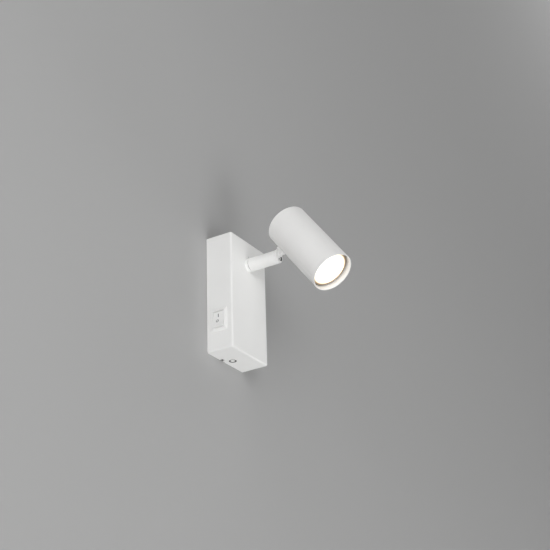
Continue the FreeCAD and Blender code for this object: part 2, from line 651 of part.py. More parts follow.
def switch_body():
    """Moulded switch body: outer frame, snap-in box behind the sheet, and the well for the rocker."""
    body = new_body("switch_body")
    place(body, **SWITCH_PLACE)
    edge = sketch_on(body, "YZ_Plane", "-frame_edge")
    rectangle(edge, "-frame_wide / 2", "-frame_tall / 2", "frame_wide / 2", "frame_tall / 2")
    pad(body, edge, "frame_edge")
    border = sketch_on(body, "YZ_Plane", "-frame_edge")
    rectangle(border, "-frame_wide / 2", "-frame_tall / 2", "frame_wide / 2", "frame_tall / 2")
    sloped = pad(body, border, "frame_thick - frame_edge")
    sloped.Reversed = True
    bind(sloped, TaperAngle="-frame_slope")
    doc.recompute()
    box = sketch_on(body, "YZ_Plane", "-0.2")
    inset = "(snap_inset + thread_fit)"
    rectangle(box, "-(frame_wide / 2 - %s)" % inset, "-(frame_tall / 2 - %s)" % inset,
              "frame_wide / 2 - " + inset, "frame_tall / 2 - " + inset)
    pad(body, box, "switch_deep + 0.2")
    for side in ("-1", "1"):
        lug = sketch_on(body, "XZ_Plane", "-4")
        edge = "%s * (frame_tall / 2 - %s - 0.2)" % (side, inset)
        tip = "%s * (frame_tall / 2 - %s + 1.0)" % (side, inset)
        outline(lug, [("sheet_wall + 0.1", edge), ("sheet_wall + 0.1", tip), ("sheet_wall + 5", edge)])
        pad(body, lug, "8")
    well = sketch_on(body, "YZ_Plane", "-frame_thick - 1")
    reach = "(rocker_radius + rocker_gap)"
    rectangle(well, "-(rocker_wide / 2 + rocker_gap)", "-" + reach, "rocker_wide / 2 + rocker_gap", reach)
    cut(body, well, "rocker_sink + rocker_belly + 3.4")
    bearing = sketch_on(body, "XZ_Plane", "-(rocker_wide / 2 + stub_long + run_gap)")
    circle(bearing, "stub_radius + run_gap", "rocker_sink - frame_thick", "0")
    cut(body, bearing, "rocker_wide + 2 * (stub_long + run_gap)")
    blades = sketch_on(body, "YZ_Plane", "switch_deep - 3")
    for side in ("-1", "1"):
        rectangle(blades, "-blade_wide / 2 - thread_fit",
                  "%s * blade_step - blade_thick / 2 - thread_fit" % side, "blade_wide / 2 + thread_fit",
                  "%s * blade_step + blade_thick / 2 + thread_fit" % side)
    cut(body, blades, "4")


def switch_terminals():
    """Two blade terminals at the back of the switch."""
    members = []
    for side in ("-1", "1"):
        blade = doc.addObject("Part::Box", "Blade")
        bind(blade, Length="blade_long + 3", Width="blade_wide", Height="blade_thick")
        place(blade, x="-house_wide / 2 + switch_deep - 3", y="-switch_off - blade_wide / 2",
              z="switch_drop + %s * blade_step - blade_thick / 2" % side)
        eye = cylinder("BladeEye", "0.9", "4 * blade_thick",
                       x="-house_wide / 2 + switch_deep + blade_long - 2.2", y="-switch_off",
                       z="switch_drop + %s * blade_step - 2 * blade_thick" % side)
        holed = doc.addObject("Part::Cut", "BladeHoled")
        holed.Base = blade
        holed.Tool = eye
        members.append(holed)
    group("switch_terminals", members)


def rocker():
    """Rocker with a hollow V face, round ends about its pivot, and two pivot stubs."""
    body = new_body("rocker")
    place(body, x="-house_wide / 2 - frame_thick + rocker_sink", y="-switch_off", z="switch_drop",
          axis=(0, 1, 0), angle="rocker_tilt")
    side = sketch_on(body, "XZ_Plane", "-rocker_wide / 2")
    rise = "(rocker_crest + rocker_radius * tan(rocker_tilt))"
    outline(side, [("-rocker_crest", "0"), ("-" + rise, "rocker_radius"), ("rocker_belly", "rocker_radius"),
                   ("rocker_belly", "-rocker_radius"), ("-" + rise, "-rocker_radius")])
    pad(body, side, "rocker_wide")
    ends = sketch_on(body, "XZ_Plane", "-rocker_wide / 2 - 1")
    rectangle(ends, "-2 * rocker_radius", "-2 * rocker_radius", "2 * rocker_radius", "2 * rocker_radius")
    circle(ends, "rocker_radius")
    shaped = cut(body, ends, "rocker_wide + 2")
    round_edges(body, shaped, "rocker_round", lambda edge: edge.CenterOfMass.x < -1)
    stubs = sketch_on(body, "XZ_Plane", "-rocker_wide / 2 - stub_long")
    circle(stubs, "stub_radius")
    pad(body, stubs, "rocker_wide + 2 * stub_long")


# ---------------------------------------------------------------- swivel
ARM_PLACE = {"y": "-house_deep", "z": "arm_rise"}
ARM_START = "(collar_thick + washer_thick + run_gap)"
DISC_PLACE = "(sheet_wall + thrust_thick + run_gap)"
NUT_PLACE = "(%s + disc_thick + spring_thick)" % DISC_PLACE


def swivel_collar():
    """Fixed base collar on the housing's front, with a spigot in the arm hole."""
    body = new_body("swivel_collar")
    place(body, **ARM_PLACE)
    profile = sketch_on(body, "YZ_Plane")
    bore = "nipple_radius + run_gap"
    outline(profile, [("spigot_long", bore), ("spigot_long", "spigot_radius"), ("0", "spigot_radius"),
                      ("0", "arm_radius"), ("-collar_thick + edge_break", "arm_radius"),
                      ("-collar_thick", "arm_radius - edge_break"), ("-collar_thick", bore)])
    turn(body, profile)


def swivel_fixed_rings():
    """Friction washer outside, thrust washer inside and the stop pin: they stay with the housing."""
    friction = ring("FrictionWasher", "arm_radius - washer_inset", "nipple_radius + run_gap", "washer_thick",
                    y="-house_deep - collar_thick", z="arm_rise", **TOWARDS_ROOM)
    keep(friction, "friction_washer")
    thrust = ring("ThrustWasher", "thrust_radius", "nipple_radius + run_gap", "thrust_thick",
                  y="-house_deep + sheet_wall", z="arm_rise", **TOWARDS_WALL)
    keep(thrust, "thrust_washer")
    pin = cylinder("StopPin", "stop_radius", "sheet_wall + stop_long - 0.2",
                   y="-house_deep + 0.2", z="arm_rise + stop_side", **TOWARDS_WALL)
    keep(pin, "stop_pin")


def swivel_nipple():
    """Hollow nipple: screwed into the arm, it passes the collar and the housing, and carries the nut."""
    nipple = ring("SwivelNipple", "nipple_radius", "nipple_bore",
                  "nipple_grip + %s + %s + nut_thick + nipple_spare" % (ARM_START, NUT_PLACE),
                  y="-house_deep - %s - nipple_grip" % ARM_START, z="arm_rise", **TOWARDS_WALL)
    keep(nipple, "swivel_nipple")


def stop_disc():
    """Disc on the nipple whose tab meets the stop pin at the ends of the swivel."""
    body = new_body("stop_disc")
    place(body, y="-house_deep + " + DISC_PLACE, z="arm_rise")
    face = sketch_on(body, "XZ_Plane", "-disc_thick")
    circle(face, "disc_radius")
    pad(body, face, "disc_thick")
    tab = sketch_on(body, "XZ_Plane", "-disc_thick")
    rectangle(tab, "-stop_tab / 2", "-tab_reach", "stop_tab / 2", "-disc_radius / 2")
    pad(body, tab, "disc_thick")
    bore = sketch_on(body, "XZ_Plane", "-disc_thick - 1")
    circle(bore, "nipple_radius + thread_fit")
    cut(body, bore, "disc_thick + 2")


def nipple_fasteners():
    """Spring washer and hexagon nut that hold the swivel together."""
    spring = ring("SpringWasher", "spring_radius", "nipple_radius + thread_fit", "spring_thick",
                  y="-house_deep + %s + disc_thick" % DISC_PLACE, z="arm_rise", **TOWARDS_WALL)
    keep(spring, "spring_washer")
    blank = doc.addObject("Part::Prism", "NutBlank")
    blank.Polygon = 6
    bind(blank, Circumradius="nut_flats / 2 / cos(30)", Height="nut_thick")
    nut = doc.addObject("Part::Cut", "NippleNut")
    nut.Base = blank
    nut.Tool = cylinder("NutThread", "nipple_radius + thread_fit", "nut_thick + 2", z="-1")
    place(nut, y="-house_deep + " + NUT_PLACE, z="arm_rise", **TOWARDS_WALL)
    keep(nut, "nipple_nut")


# ---------------------------------------------------------------- arm and tilt joint
def arm():
    """Turned arm: threaded socket and lead bore at the back, slotted end with the tilt pivot."""
    body = new_body("arm")
    place(body, **ARM_PLACE)
    profile = sketch_on(body, "YZ_Plane")
    slot_start = "(arm_reach - slot_deep)"
    bore_end = "-(%s + 1)" % slot_start
    socket_end = "-(%s + nipple_grip + thread_fit)" % ARM_START
    outline(profile, [("-" + ARM_START, "nipple_radius + thread_fit"),
                      ("-" + ARM_START, "arm_radius - edge_break"),
                      ("-%s - edge_break" % ARM_START, "arm_radius"),
                      ("-arm_reach + end_chamfer", "arm_radius"),
                      ("-arm_reach", "arm_radius - end_chamfer"), ("-arm_reach", "0"), (bore_end, "0"),
                      (bore_end, "nipple_bore"), (socket_end, "nipple_bore"),
                      (socket_end, "nipple_radius + thread_fit")])
    turn(body, profile)
    half = "(tongue_thick / 2 + run_gap)"
    slot = sketch_on(body, "YZ_Plane", "joint_side - " + half)
    rectangle(slot, "-arm_reach - 1", "-slot_floor", "-" + slot_start, "arm_radius + 1")
    cut(body, slot, "2 * " + half)
    pivot = "-(arm_reach - pivot_back)"
    through = sketch_on(body, "YZ_Plane", "-pin_blind - thread_fit")
    circle(through, "screw_four + thread_fit", pivot, "0")
    cut(body, through, "pin_blind + arm_radius + 1")
    seat = sketch_on(body, "YZ_Plane", "pin_head_seat")
    circle(seat, "pin_head_radius + thread_fit", pivot, "0")
    cut(body, seat, "arm_radius")
    mouth = sketch_on(body, "XZ_Plane", "arm_reach - lock_mouth_deep")
    circle(mouth, "lock_mouth", "lock_side", "lock_drop")
    cut(body, mouth, "lock_mouth_deep + 1")
    lock = sketch_on(body, "XZ_Plane", "arm_reach - pivot_back")
    circle(lock, "lock_radius + thread_fit", "lock_side", "lock_drop")
    cut(body, lock, "pivot_back + 1")


def pivot_screws():
    """Pivot screw of the tilt joint, and the small socket screw that locks it from the arm's end."""
    pivot = screw("PivotScrew", "screw_four", "pin_head_seat + pin_blind", "pin_head_radius", "pin_head_tall",
                  x="pin_head_seat", y="-house_deep - arm_reach + pivot_back", z="arm_rise", **TO_THE_RIGHT)
    keep(pivot, "pivot_screw")
    length = "(pivot_back - screw_four - 2 * thread_fit - lock_mouth_deep)"
    stem = cylinder("LockStem", "lock_radius", length)
    socket = doc.addObject("Part::Prism", "LockSocket")
    socket.Polygon = 6
    bind(socket, Circumradius="lock_socket", Height="2 * lock_socket_deep")
    place(socket, z=length + " - lock_socket_deep")
    lock = doc.addObject("Part::Cut", "LockingScrew")
    lock.Base = stem
    lock.Tool = socket
    place(lock, x="lock_side", y="-house_deep - arm_reach + pivot_back - screw_four - thread_fit",
          z="arm_rise + lock_drop", **TOWARDS_ROOM)
    keep(lock, "locking_screw")


# ---------------------------------------------------------------- head
# Head pieces are drawn with the tube's axis along Y and the light towards -Y. Their origin is the point of
# that axis above the tongue, and the whole set droops about the pivot.
HEAD_PLACE = {
    "y": "-house_deep - arm_reach + pivot_back - head_offset * sin(droop)",
    "z": "arm_rise + head_offset * cos(droop)",
    "axis": (1, 0, 0),
    "angle": "droop",
}
HEAD_FRONT = "(head_long - head_rear)"
LAMP_FACE = "(%s - lamp_inset)" % HEAD_FRONT
LAMP_BASE = "(%s - lamp_long)" % LAMP_FACE
HOLDER_FACE = "(%s - seat_gap)" % LAMP_BASE
HOLDER_BACK = "(%s - holder_long)" % HOLDER_FACE
STRIP_FLOOR = "(sqrt((head_radius - head_wall) ^ 2 - strip_half ^ 2) - thread_fit)"


def head_piece(thing):
    """Put a piece that is drawn in the head's own frame into the drooping head."""
    place(thing, **HEAD_PLACE)
    return thing


def in_head(label, members):
    """Sub-part of the head from solids that are drawn in the head's own frame."""
    compound = doc.addObject("Part::Compound", label.title().replace("_", ""))
    compound.Links = members
    head_piece(compound)
    return keep(compound, label)


def head_tongue():
    """Tongue: round eye on the pivot, a web that widens to the tube, and a foot that fits its curve."""
    body = head_piece(new_body("head_tongue"))
    web = sketch_on(body, "YZ_Plane", "joint_side - tongue_thick / 2")
    top = "-head_radius + 1"
    outline(web, [("-eye_radius", "-head_offset"), ("eye_radius", "-head_offset"),
                  ("saddle_rear", "-head_radius - saddle_thick"), ("saddle_rear", top),
                  ("-saddle_front", top), ("-saddle_front", "-head_radius - saddle_thick")])
    pad(body, web, "tongue_thick")
    eye = sketch_on(body, "YZ_Plane", "joint_side - tongue_thick / 2")
    circle(eye, "eye_radius", "0", "-head_offset")
    pad(body, eye, "tongue_thick")
    foot = sketch_on(body, "XY_Plane", "-head_radius - saddle_thick")
    rectangle(foot, "joint_side - saddle_half", "-saddle_front", "joint_side + saddle_half", "saddle_rear")
    pad(body, foot, "saddle_thick + 1")
    tube = sketch_on(body, "XZ_Plane", "-saddle_rear - 1")
    circle(tube, "head_radius")
    cut(body, tube, "saddle_front + saddle_rear + 2")
    pivot = sketch_on(body, "YZ_Plane", "joint_side - tongue_thick / 2 - 1")
    circle(pivot, "screw_four + run_gap", "0", "-head_offset")
    cut(body, pivot, "tongue_thick + 2")
    threads = sketch_on(body, "XY_Plane", "-head_radius - saddle_thick - 0.2")
    circle(threads, "screw_three + thread_fit", "joint_side", "-foot_screw_front")
    circle(threads, "screw_three + thread_fit", "joint_side", "foot_screw_rear")
    cut(body, threads, "saddle_thick + 1.2")


def head_shade():
    """Round tube, closed at the back with a rounded edge, open at the front."""
    body = head_piece(new_body("head_shade"))
    profile = sketch_on(body, "YZ_Plane")
    inner = "head_radius - head_wall"
    outline(profile, [("-" + HEAD_FRONT, inner), ("-" + HEAD_FRONT, "head_radius"),
                      ("head_rear", "head_radius"), ("head_rear", "0"), ("head_rear - head_end", "0"),
                      ("head_rear - head_end", inner)])
    tube = turn(body, profile)
    rear = value("head_rear")
    radius = value("head_radius")

    def is_rear_rim(edge):
        box = edge.BoundBox
        return box.YMin > rear - 0.01 and box.XMax > radius - 0.01

    rounded = round_edges(body, tube, "head_round", is_rear_rim)
    front = -value(HEAD_FRONT)
    round_edges(body, rounded, "rim_round", lambda edge: edge.BoundBox.YMax < front + 0.01)
    holes = sketch_on(body, "XY_Plane", "-head_radius - 1")
    circle(holes, "screw_three + hole_ease", "joint_side", "-foot_screw_front")
    circle(holes, "screw_three + hole_ease", "joint_side", "foot_screw_rear")
    cut(body, holes, "head_wall + 2")


def holder_bracket():
    """Bent strip in the head: one leg lies on the tube under the tongue, the other carries the holder."""
    body = head_piece(new_body("holder_bracket"))
    side = sketch_on(body, "YZ_Plane", "-strip_half")
    low = "-" + STRIP_FLOOR
    outline(side, [("-" + HOLDER_BACK, low), ("strip_tail", low), ("strip_tail", low + " + strip_thick"),
                   ("-%s + strip_thick" % HOLDER_BACK, low + " + strip_thick"),
                   ("-%s + strip_thick" % HOLDER_BACK, "strip_rise"), ("-" + HOLDER_BACK, "strip_rise")])
    bent = pad(body, side, "2 * strip_half")
    front = -value(HOLDER_BACK)
    floor = -value(STRIP_FLOOR)

    def is_outer_bend(edge):
        middle = edge.CenterOfMass
        return abs(middle.y - front) < 0.01 and abs(middle.z - floor) < 0.01

    round_edges(body, bent, "strip_thick", is_outer_bend)
    feet = sketch_on(body, "XY_Plane", "-head_radius")
    circle(feet, "screw_three + hole_ease", "joint_side", "-foot_screw_front")
    circle(feet, "screw_three + hole_ease", "joint_side", "foot_screw_rear")
    cut(body, feet, "head_radius / 2")
    back = sketch_on(body, "XZ_Plane", HOLDER_BACK + " - strip_thick - 1")
    circle(back, "screw_three + hole_ease", "0", "-holder_screw_rise")
    circle(back, "screw_three + hole_ease", "0", "holder_screw_rise")
    circle(back, "nipple_bore")
    cut(body, back, "strip_thick + 2")


def head_fixings():
    """Screws from the bracket through the tube into the tongue, and screws into the lampholder."""
    feet = []
    for run in ("-foot_screw_front", "foot_screw_rear"):
        feet.append(screw("FootScrew", "screw_three",
                          "head_radius - %s + strip_thick + saddle_thick" % STRIP_FLOOR,
                          "small_head", "small_head_tall", x="joint_side", y=run,
                          z="-%s + strip_thick + thread_fit" % STRIP_FLOOR))
    in_head("head_screws", feet)
    backs = []
    for side in ("-1", "1"):
        backs.append(screw("HolderScrew", "screw_three", "strip_thick + 6", "small_head", "small_head_tall",
                           y="-%s + strip_thick + thread_fit" % HOLDER_BACK,
                           z=side + " * holder_screw_rise", **TOWARDS_WALL))
    in_head("holder_screws", backs)


def lampholder():
    """Ceramic holder with a stepped round body, two pin wells and a lead hole."""
    body = head_piece(new_body("lampholder"))
    profile = sketch_on(body, "YZ_Plane")
    back = "-" + HOLDER_BACK
    step = "-%s - holder_step" % HOLDER_BACK
    face = "-" + HOLDER_FACE
    outline(profile, [(back, "0"), (back, "holder_radius - 1"), (back + " - 1", "holder_radius"),
                      (step, "holder_radius"), (step, "holder_waist"), (face + " + 1", "holder_waist"),
                      (face, "holder_waist - 1"), (face, "0")])
    turn(body, profile)
    wells = sketch_on(body, "XZ_Plane", HOLDER_FACE + " - well_deep")
    circle(wells, "pin_well", "-pin_side", "0")
    circle(wells, "pin_well", "pin_side", "0")
    cut(body, wells, "well_deep + 1")
    threads = sketch_on(body, "XZ_Plane", HOLDER_BACK + " - 1")
    circle(threads, "screw_three + thread_fit", "0", "-holder_screw_rise")
    circle(threads, "screw_three + thread_fit", "0", "holder_screw_rise")
    cut(body, threads, "7.5")


def holder_contacts():
    """Brass contact discs at the bottoms of the wells."""
    members = []
    for side in ("-1", "1"):
        members.append(cylinder("Contact", "pin_well - 0.1", "contact_thick", x=side + " * pin_side",
                                y="-(%s - well_deep + thread_fit)" % HOLDER_FACE, **TOWARDS_ROOM))
    in_head("holder_contacts", members)


def lamp_body():
    """Reflector lamp: rim, conical flank and round base."""
    body = head_piece(new_body("lamp_body"))
    profile = sketch_on(body, "YZ_Plane")
    face = "-(%s - 0.8)" % LAMP_FACE
    seat = "-(%s - lens_thick)" % LAMP_FACE
    base = "-" + LAMP_BASE
    outline(profile, [(seat, "0"), (seat, "lamp_radius - lens_edge"), (face, "lamp_radius - lens_edge"),
                      (face, "lamp_radius"), (face + " + lamp_rim_long", "lamp_radius"),
                      (base + " - lamp_neck_long", "lamp_neck"), (base + " - 1", "lamp_neck"),
                      (base, "lamp_neck - 1"), (base, "0")])
    turn(body, profile)


def lamp_lens():
    """Slightly domed front of the lamp, the surface that glows."""
    body = head_piece(new_body("lamp_lens"))
    profile = sketch_on(body, "YZ_Plane")
    edge = "lamp_radius - lens_edge - thread_fit"
    outline(profile, [("-(%s - lens_thick + thread_fit)" % LAMP_FACE, "0"),
                      ("-(%s - lens_thick + thread_fit)" % LAMP_FACE, edge),
                      ("-(%s - 0.8)" % LAMP_FACE, edge), ("-(%s - 0.2)" % LAMP_FACE, edge + " - 1.5"),
                      ("-" + LAMP_FACE, "lamp_radius / 2"), ("-" + LAMP_FACE, "0")])
    turn(body, profile)


def lamp_pins():
    """Two pins of the lamp's base, each a stem with a knob."""
    members = []
    for side in ("-1", "1"):
        pin = doc.addObject("Part::Fuse", "LampPin")
        pin.Base = cylinder("LampPinStem", "pin_stem", "pin_long")
        pin.Tool = cylinder("LampPinKnob", "pin_knob", "knob_long", z="pin_long - knob_long")
        place(pin, x=side + " * pin_side", y="-" + LAMP_BASE, **TOWARDS_WALL)
        members.append(pin)
    in_head("lamp_pins", members)


# ---------------------------------------------------------------- build, check and write
SUBPARTS = (wall_bracket, bracket_inserts, terminal_block, terminal_sleeves, terminal_screws, bracket_screws,
            earth_terminal, cable_clamp, housing_cover, cover_screws, switch_body, switch_terminals, rocker,
            swivel_collar, swivel_fixed_rings, swivel_nipple, stop_disc, nipple_fasteners, arm, pivot_screws,
            head_tongue, head_shade, holder_bracket, head_fixings, lampholder, holder_contacts, lamp_body,
            lamp_lens, lamp_pins)
for make in SUBPARTS:
    make()
doc.recompute()

for thing in doc.Objects:
    if "Invalid" in thing.State or "Error" in thing.State:
        raise RuntimeError("%s failed to build" % thing.Name)
for part in parts:
    if part.Shape.isNull() or not part.Shape.isValid():
        raise RuntimeError("%s has no valid shape" % part.Label)

os.makedirs("parts", exist_ok=True)
for part in parts:
    part.Shape.exportStep("parts/%s.step" % part.Label)
    print("%-18s %d solid(s) %10.1f mm3" % (part.Label, len(part.Shape.Solids), part.Shape.Volume))
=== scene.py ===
"""Looks of the bedside wall reading lamp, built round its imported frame.

Every length is in metres, in the lamp's own frame: X along the wall, +Y into the wall, +Z up, with the
origin on the wall at the middle of the housing's open back. Each sub-assembly is a class that dresses its
fixed pieces and models the small marks that are printed on them.
"""

import json
import logging
import math
from dataclasses import dataclass, field
from enum import Enum
from typing import ClassVar, Protocol

import bpy
from mathutils import Matrix, Vector

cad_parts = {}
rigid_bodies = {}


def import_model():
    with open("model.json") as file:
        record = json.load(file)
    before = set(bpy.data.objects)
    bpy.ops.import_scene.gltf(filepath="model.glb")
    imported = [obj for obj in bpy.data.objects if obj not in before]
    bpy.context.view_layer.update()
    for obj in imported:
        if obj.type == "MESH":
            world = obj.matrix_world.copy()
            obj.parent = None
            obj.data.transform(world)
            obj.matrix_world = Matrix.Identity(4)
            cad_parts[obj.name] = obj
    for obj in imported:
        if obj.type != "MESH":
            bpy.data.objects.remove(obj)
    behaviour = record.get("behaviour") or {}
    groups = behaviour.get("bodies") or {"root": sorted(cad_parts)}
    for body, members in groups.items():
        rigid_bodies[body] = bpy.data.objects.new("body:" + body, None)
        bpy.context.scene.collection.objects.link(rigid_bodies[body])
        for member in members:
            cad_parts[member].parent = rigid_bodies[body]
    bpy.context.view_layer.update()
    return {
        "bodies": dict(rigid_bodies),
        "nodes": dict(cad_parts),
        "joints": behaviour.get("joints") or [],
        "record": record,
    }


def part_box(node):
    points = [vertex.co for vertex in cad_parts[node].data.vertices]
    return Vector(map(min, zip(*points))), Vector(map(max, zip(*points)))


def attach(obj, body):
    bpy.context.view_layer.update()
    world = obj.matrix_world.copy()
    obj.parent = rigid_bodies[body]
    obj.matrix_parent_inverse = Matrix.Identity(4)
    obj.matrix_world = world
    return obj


LOG = logging.getLogger("reading_lamp")

Triple = tuple[float, float, float]
Colour = Triple


class Sheen(Enum):
    """How a moulded or coated surface takes light, as a pair of lowest and highest roughness."""

    MATT = (0.50, 0.62)
    SATIN = (0.34, 0.44)


# ---------------------------------------------------------------- node sheets
class NodeSheet:
    """Node tree of one material, with short calls for the nodes that the finishes share."""

    def __init__(self, name: str) -> None:
        """Start a material.

        Args:
            name: Name of the material.
        """
        self.material = bpy.data.materials.new(name)
        self.material.use_nodes = True
        tree = self.material.node_tree
        self.nodes = tree.nodes
        self.links = tree.links
        self.shader = self.nodes["Principled BSDF"]
        self.spot = self.nodes.new("ShaderNodeTexCoord").outputs["Object"]

    def set(self, **values: object) -> None:
        """Set constant sockets of the shader."""
        for name, value in values.items():
            # An underscore in a keyword stands for the space in a socket's name.
            self.shader.inputs[name.replace("_", " ")].default_value = value

    def noise(self, size: float, detail: float = 3.0,
              squash: Triple = (1.0, 1.0, 1.0)) -> bpy.types.NodeSocket:
        """Noise whose features have a real size.

        Args:
            size: Size of a feature, in metres.
            detail: Octaves of finer noise.
            squash: How much denser the pattern is along each axis.

        Returns:
            The factor socket, 0 to 1.
        """
        mapping = self.nodes.new("ShaderNodeMapping")
        mapping.inputs["Scale"].default_value = squash
        self.links.new(self.spot, mapping.inputs["Vector"])
        node = self.nodes.new("ShaderNodeTexNoise")
        node.inputs["Scale"].default_value = 1.0 / size
        node.inputs["Detail"].default_value = detail
        self.links.new(mapping.outputs["Vector"], node.inputs["Vector"])
        return node.outputs["Fac"]

    def cells(self, size: float) -> bpy.types.NodeSocket:
        """Cell pattern whose cells have a real size.

        Args:
            size: Size of a cell, in metres.

        Returns:
            A socket with one random grey for each cell.
        """
        node = self.nodes.new("ShaderNodeTexVoronoi")
        node.inputs["Scale"].default_value = 1.0 / size
        self.links.new(self.spot, node.inputs["Vector"])
        grey = self.nodes.new("ShaderNodeRGBToBW")
        self.links.new(node.outputs["Color"], grey.inputs["Color"])
        return grey.outputs["Val"]

    def ramp(self, factor: bpy.types.NodeSocket, stops: list[tuple[float, Colour]]) -> bpy.types.NodeSocket:
        """Colour ramp over a factor.

        Args:
            factor: The socket that is looked up.
            stops: Place and colour of each stop, in rising order.

        Returns:
            The colour socket.
        """
        node = self.nodes.new("ShaderNodeValToRGB")
        elements = node.color_ramp.elements
        while len(elements) < len(stops):
            elements.new(0.5)
        for element, (place, colour) in zip(elements, stops):
            element.position = place
            element.color = (*colour, 1.0)
        self.links.new(factor, node.inputs["Fac"])
        return node.outputs["Color"]

    def span(self, factor: bpy.types.NodeSocket, low: float, high: float) -> bpy.types.NodeSocket:
        """Stretch a 0 to 1 factor to a range of numbers.

        Args:
            factor: The socket to stretch.
            low: The number that stands for 0.
            high: The number that stands for 1.

        Returns:
            The socket of the stretched number.
        """
        node = self.nodes.new("ShaderNodeMapRange")
        node.inputs["To Min"].default_value = low
        node.inputs["To Max"].default_value = high
        self.links.new(factor, node.inputs["Value"])
        return node.outputs["Result"]

    def relief(self, height: bpy.types.NodeSocket, depth: float) -> None:
        """Bump the surface.

        Args:
            height: The pattern that is raised, 0 to 1.
            depth: Height of the highest places, in metres.
        """
        node = self.nodes.new("ShaderNodeBump")
        node.inputs["Distance"].default_value = depth
        self.links.new(height, node.inputs["Height"])
        self.links.new(node.outputs["Normal"], self.shader.inputs["Normal"])

    def off_axis(self, point: Triple, direction: Triple, reach: float) -> bpy.types.NodeSocket:
        """Distance of the shaded point from a straight axis, as a share of a reach.

        Args:
            point: A point of the axis.
            direction: Unit vector along it.
            reach: The distance that counts as 1, in metres.

        Returns:
            The socket of that share.
        """
        shift = self.nodes.new("ShaderNodeVectorMath")
        shift.operation = "SUBTRACT"
        shift.inputs[1].default_value = point
        self.links.new(self.spot, shift.inputs[0])
        cross = self.nodes.new("ShaderNodeVectorMath")
        cross.operation = "CROSS_PRODUCT"
        cross.inputs[1].default_value = direction
        self.links.new(shift.outputs["Vector"], cross.inputs[0])
        length = self.nodes.new("ShaderNodeVectorMath")
        length.operation = "LENGTH"
        self.links.new(cross.outputs["Vector"], length.inputs[0])
        return self.span(length.outputs["Value"], 0.0, 1.0 / reach)

    def tint(self, cover: bpy.types.NodeSocket, colour: Colour) -> None:
        """Mix a colour over the base colour.

        Args:
            cover: The mask: the colour shows where it is white.
            colour: The colour that is laid over.
        """
        base = self.shader.inputs["Base Color"]
        mix = self.nodes.new("ShaderNodeMix")
        mix.data_type = "RGBA"
        self.links.new(base.links[0].from_socket, mix.inputs["A"])
        mix.inputs["B"].default_value = (*colour, 1.0)
        self.links.new(cover, mix.inputs["Factor"])
        self.links.new(mix.outputs["Result"], base)

    def join(self, socket: bpy.types.NodeSocket, name: str) -> None:
        """Link a socket to an input of the shader."""
        self.links.new(socket, self.shader.inputs[name])

    def mottle(self, factor: bpy.types.NodeSocket, low: Colour, high: Colour,
               places: tuple[float, float] = (0.3, 0.7)) -> None:
        """Colour the surface by a pattern that wanders between two tones.

        Args:
            factor: The pattern, 0 to 1.
            low: Tone of its low parts.
            high: Tone of its high parts.
            places: Where in the pattern the pure tones begin.
        """
        self.join(self.ramp(factor, [(places[0], low), (places[1], high)]), "Base Color")

    def wear(self, factor: bpy.types.NodeSocket, rough: tuple[float, float]) -> None:
        """Let the roughness wander between a lowest and a highest value with a pattern."""
        self.join(self.span(factor, *rough), "Roughness")


def shade(colour: Colour, factor: float) -> Colour:
    """The colour made darker or lighter by a factor."""
    return (colour[0] * factor, colour[1] * factor, colour[2] * factor)


# ---------------------------------------------------------------- finishes
class Finish(Protocol):
    """Anything that has a name and can make a material."""

    @property
    def name(self) -> str:
        """Name of the finish and of its material."""

    def build(self) -> bpy.types.Material:
        """Make the material and return it."""


@dataclass(frozen=True)
class PowderCoat:
    """Baked powder coat: fine orange peel, faint cloudiness and a soft even gloss."""

    name: str
    tone: Colour
    sheen: Sheen = Sheen.MATT
    cloud: float = 0.035
    cloud_shade: float = 0.985
    peel: float = 0.0009
    peel_depth: float = 0.000012
    grain: float = 0.00022
    specular: float = 0.4

    def build(self) -> bpy.types.Material:
        """Make the coat's material and return it."""
        return self.coat().material

    def coat(self) -> NodeSheet:
        """Lay out the nodes of the plain coat.

        Returns:
            The sheet with those nodes.
        """
        sheet = NodeSheet(self.name)
        sheet.mottle(sheet.noise(self.cloud, detail=1.0), shade(self.tone, self.cloud_shade), self.tone)
        sheet.wear(sheet.noise(self.grain, detail=1.0), self.sheen.value)
        sheet.relief(sheet.noise(self.peel, detail=2.0), self.peel_depth)
        sheet.set(Specular_IOR_Level=self.specular)
        return sheet


@dataclass(frozen=True)
class ShadePatchCoat(PowderCoat):
    """Powder coat with a near-black patch round a screw's axis, painted shade that stands in for the shadow
    in the recess round the screw.
    """

    point: Triple = (0.0, 0.0, 0.0)
    direction: Triple = (0.0, 1.0, 0.0)
    radius: float = 0.003
    feather: float = 0.02
    # Painted shade: near-black tone of the patch round the screw's axis.
    shade_patch_tone: Colour = (0.05, 0.05, 0.052)

    def build(self) -> bpy.types.Material:
        """Make the coat's material with its bare patch.

        Returns:
            The material.
        """
        sheet = self.coat()
        away = sheet.off_axis(self.point, self.direction, 2.0 * self.radius)
        inner, outer = (1.0 - self.feather) / 2.0, (1.0 + self.feather) / 2.0
        # Painted shade: tint the coat near black inside the patch's radius, for the shadow in the screw's
        # recess.
        sheet.tint(sheet.ramp(away, [(inner, (1.0, 1.0, 1.0)), (outer, (0.0, 0.0, 0.0))]), self.shade_patch_tone)
        return sheet.material


@dataclass(frozen=True)
class MouldedPlastic:
    """Injection-moulded plastic with an eroded or polished skin."""

    name: str
    tone: Colour
    sheen: Sheen = Sheen.SATIN
    flow: float = 0.012
    flow_shade: float = 0.98
    skin: float = 0.00035
    skin_depth: float = 0.000006
    milky: float = 0.0
    milky_depth: float = 0.002

    def build(self) -> bpy.types.Material:
        """Make the plastic's material.

        Returns:
            The material.
        """
        sheet = NodeSheet(self.name)
        sheet.mottle(sheet.noise(self.flow, detail=2.0), shade(self.tone, self.flow_shade), self.tone)
        skin = sheet.noise(self.skin, detail=2.0)
        sheet.wear(skin, self.sheen.value)
        sheet.relief(skin, self.skin_depth)
        if self.milky > 0.0:
            sheet.set(Subsurface_Weight=self.milky, Subsurface_Scale=self.milky_depth)
        return sheet.material


